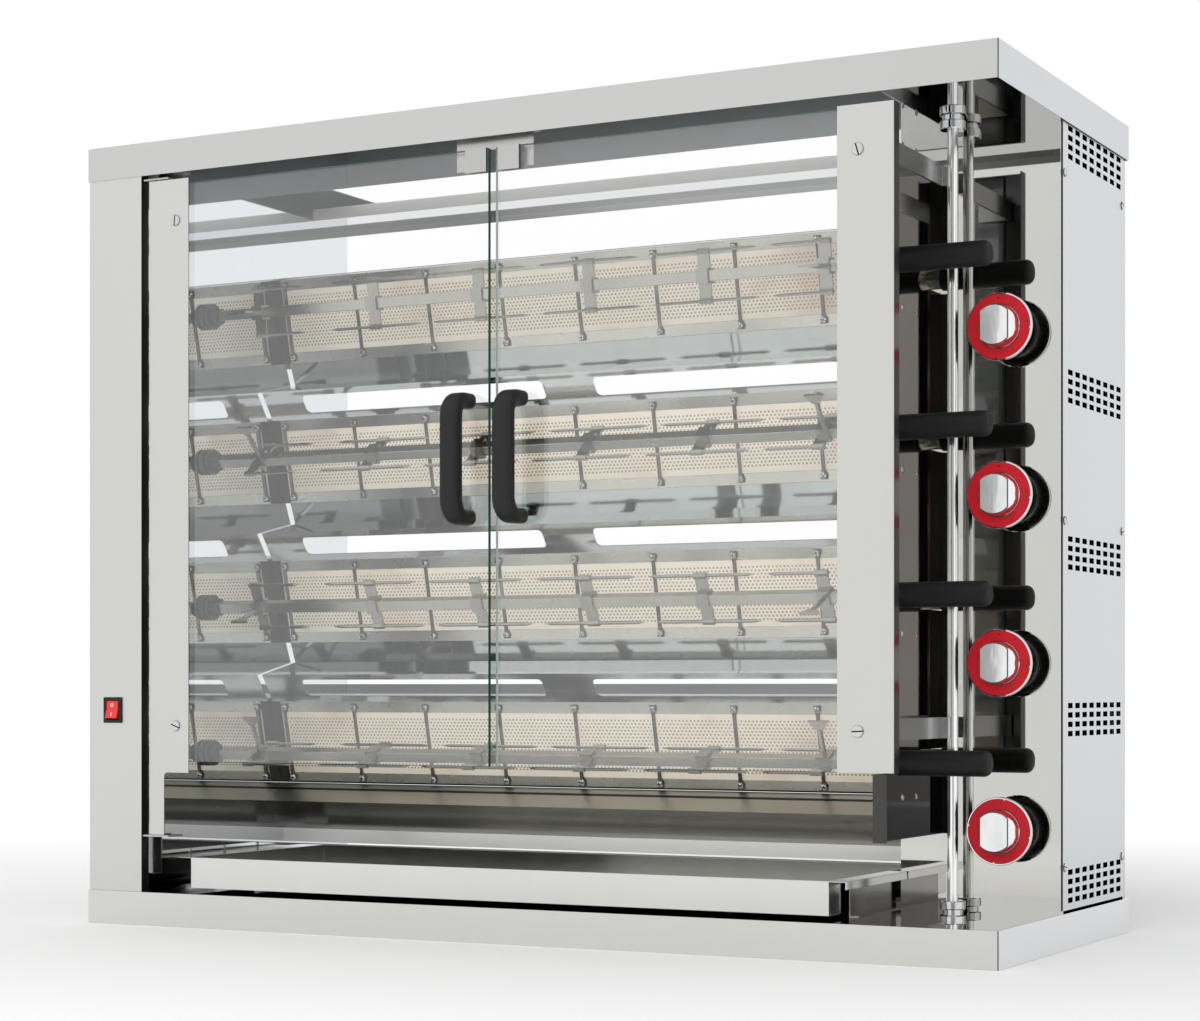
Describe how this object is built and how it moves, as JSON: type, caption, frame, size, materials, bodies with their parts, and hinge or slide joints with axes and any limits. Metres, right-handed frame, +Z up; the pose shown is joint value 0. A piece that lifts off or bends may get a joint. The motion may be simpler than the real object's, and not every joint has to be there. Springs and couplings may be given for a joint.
{
  "type": "gas chicken rotisserie",
  "caption": "Stainless cabinet with turning spits in front of ceramic gas burners, two hinged glass doors, a drip tray and a column of gas knobs.",
  "frame": {"origin": "middle of the base's flat underside, on the surface it stands on", "axes": "+X to the right as seen by the cook in front of the glass doors, +Y to the back, +Z up"},
  "size_m": [1.156, 0.5185, 0.94],
  "materials": {
    "brushed_steel": "brushed stainless sheet, grain along the long side",
    "polished_steel": "mirror-polished stainless sheet",
    "plain_steel": "plain satin steel",
    "spit_steel": "polished stainless bar",
    "ceramic": "cream perforated ceramic, matt",
    "pipe_steel": "plain pipe",
    "tap_brass": "cast and machined",
    "motor_grey": "painted gearbox",
    "black_plastic": "black moulded plastic, slight sheen",
    "red_plastic": "red translucent key",
    "clear_glass": "clear toughened glass with green edges",
    "knob_chrome": "chromed cap and rim with a red ring over a black skirt"
  },
  "bodies": {
    "cabinet": {"base_tray": "brushed_steel", "base_floor": "polished_steel", "top_cover": "brushed_steel", "ceiling_plate": "polished_steel", "motor_housing": "brushed_steel", "left_chamber_wall": "polished_steel", "right_end_wall": "polished_steel", "back_frame": "plain_steel", "control_column": "polished_steel", "column_side_panel": "brushed_steel", "burner_boxes": "plain_steel", "ceramic_tiles": "ceramic", "tile_clips": "plain_steel", "reflectors": "polished_steel", "lower_deflector": "polished_steel", "gas_rail": "pipe_steel", "gas_taps": "tap_brass", "feed_pipes": "pipe_steel", "gearmotors": "motor_grey", "tray_runners": "plain_steel", "door_catch": "plain_steel", "left_pivot_brackets": "plain_steel", "rod_bushes": "plain_steel", "switch_bezel": "black_plastic"},
    "left_door": {"left_stile": "brushed_steel", "left_glass": "clear_glass", "left_handle": "black_plastic", "left_catch_clip": "plain_steel"},
    "right_door": {"right_stile": "brushed_steel", "right_glass": "clear_glass", "right_handle": "black_plastic", "right_catch_clip": "plain_steel", "hinge_rod": "plain_steel", "hinge_arms": "plain_steel"},
    "rocker": {"rocker": "red_plastic"},
    "grease_tray": {"grease_tray": "polished_steel"},
    "drive_1": {"drive_socket_1": "spit_steel"},
    "spit_1": {"spit_bar_1": "spit_steel", "spit_forks_1": "spit_steel", "spit_grip_1": "black_plastic"},
    "stem_1": {"valve_stem_1": "spit_steel"},
    "knob_1": {"knob_1": "knob_chrome"},
    "drive_2": {"drive_socket_2": "spit_steel"},
    "spit_2": {"spit_bar_2": "spit_steel", "spit_forks_2": "spit_steel", "spit_grip_2": "black_plastic"},
    "stem_2": {"valve_stem_2": "spit_steel"},
    "knob_2": {"knob_2": "knob_chrome"},
    "drive_3": {"drive_socket_3": "spit_steel"},
    "spit_3": {"spit_bar_3": "spit_steel", "spit_forks_3": "spit_steel", "spit_grip_3": "black_plastic"},
    "stem_3": {"valve_stem_3": "spit_steel"},
    "knob_3": {"knob_3": "knob_chrome"},
    "drive_4": {"drive_socket_4": "spit_steel"},
    "spit_4": {"spit_bar_4": "spit_steel", "spit_forks_4": "spit_steel", "spit_grip_4": "black_plastic"},
    "stem_4": {"valve_stem_4": "spit_steel"},
    "knob_4": {"knob_4": "knob_chrome"}
  },
  "joints": [
    {"name": "left_door_swing", "type": "hinge", "parent": "cabinet", "child": "left_door", "pos_m": [-0.478, -0.221, 0.5], "axis": [0, 0, -1], "range_deg": [0, 110]},
    {"name": "right_door_swing", "type": "hinge", "parent": "cabinet", "child": "right_door", "pos_m": [0.46, -0.04, 0.5], "axis": [0, 0, 1], "range_deg": [0, 95]},
    {"name": "rocker_tilt", "type": "hinge", "parent": "cabinet", "child": "rocker", "pos_m": [-0.541, -0.2308, 0.2585], "axis": [1, 0, 0], "range_deg": [0, 20]},
    {"name": "tray_slide", "type": "slide", "parent": "cabinet", "child": "grease_tray", "axis": [0, -1, 0], "range_m": [0, 0.24]},
    {"name": "spit_turn_1", "type": "hinge", "parent": "cabinet", "child": "drive_1", "pos_m": [-0.5, -0.086, 0.75], "axis": [1, 0, 0], "continuous": true},
    {"name": "spit_draw_1", "type": "slide", "parent": "drive_1", "child": "spit_1", "axis": [1, 0, 0], "range_m": [0, 0.03]},
    {"name": "knob_push_1", "type": "slide", "parent": "cabinet", "child": "stem_1", "axis": [0, 1, 0], "range_m": [0, 0.004], "stiffness_N_per_m": 600},
    {"name": "knob_turn_1", "type": "hinge", "parent": "stem_1", "child": "knob_1", "pos_m": [0.516, -0.04, 0.676], "axis": [0, -1, 0], "range_deg": [0, 180]},
    {"name": "spit_turn_2", "type": "hinge", "parent": "cabinet", "child": "drive_2", "pos_m": [-0.5, -0.086, 0.568], "axis": [1, 0, 0], "continuous": true},
    {"name": "spit_draw_2", "type": "slide", "parent": "drive_2", "child": "spit_2", "axis": [1, 0, 0], "range_m": [0, 0.03]},
    {"name": "knob_push_2", "type": "slide", "parent": "cabinet", "child": "stem_2", "axis": [0, 1, 0], "range_m": [0, 0.004], "stiffness_N_per_m": 600},
    {"name": "knob_turn_2", "type": "hinge", "parent": "stem_2", "child": "knob_2", "pos_m": [0.516, -0.04, 0.494], "axis": [0, -1, 0], "range_deg": [0, 180]},
    {"name": "spit_turn_3", "type": "hinge", "parent": "cabinet", "child": "drive_3", "pos_m": [-0.5, -0.086, 0.386], "axis": [1, 0, 0], "continuous": true},
    {"name": "spit_draw_3", "type": "slide", "parent": "drive_3", "child": "spit_3", "axis": [1, 0, 0], "range_m": [0, 0.03]},
    {"name": "knob_push_3", "type": "slide", "parent": "cabinet", "child": "stem_3", "axis": [0, 1, 0], "range_m": [0, 0.004], "stiffness_N_per_m": 600},
    {"name": "knob_turn_3", "type": "hinge", "parent": "stem_3", "child": "knob_3", "pos_m": [0.516, -0.04, 0.312], "axis": [0, -1, 0], "range_deg": [0, 180]},
    {"name": "spit_turn_4", "type": "hinge", "parent": "cabinet", "child": "drive_4", "pos_m": [-0.5, -0.086, 0.204], "axis": [1, 0, 0], "continuous": true},
    {"name": "spit_draw_4", "type": "slide", "parent": "drive_4", "child": "spit_4", "axis": [1, 0, 0], "range_m": [0, 0.03]},
    {"name": "knob_push_4", "type": "slide", "parent": "cabinet", "child": "stem_4", "axis": [0, 1, 0], "range_m": [0, 0.004], "stiffness_N_per_m": 600},
    {"name": "knob_turn_4", "type": "hinge", "parent": "stem_4", "child": "knob_4", "pos_m": [0.516, -0.04, 0.13], "axis": [0, -1, 0], "range_deg": [0, 180]}
  ]
}
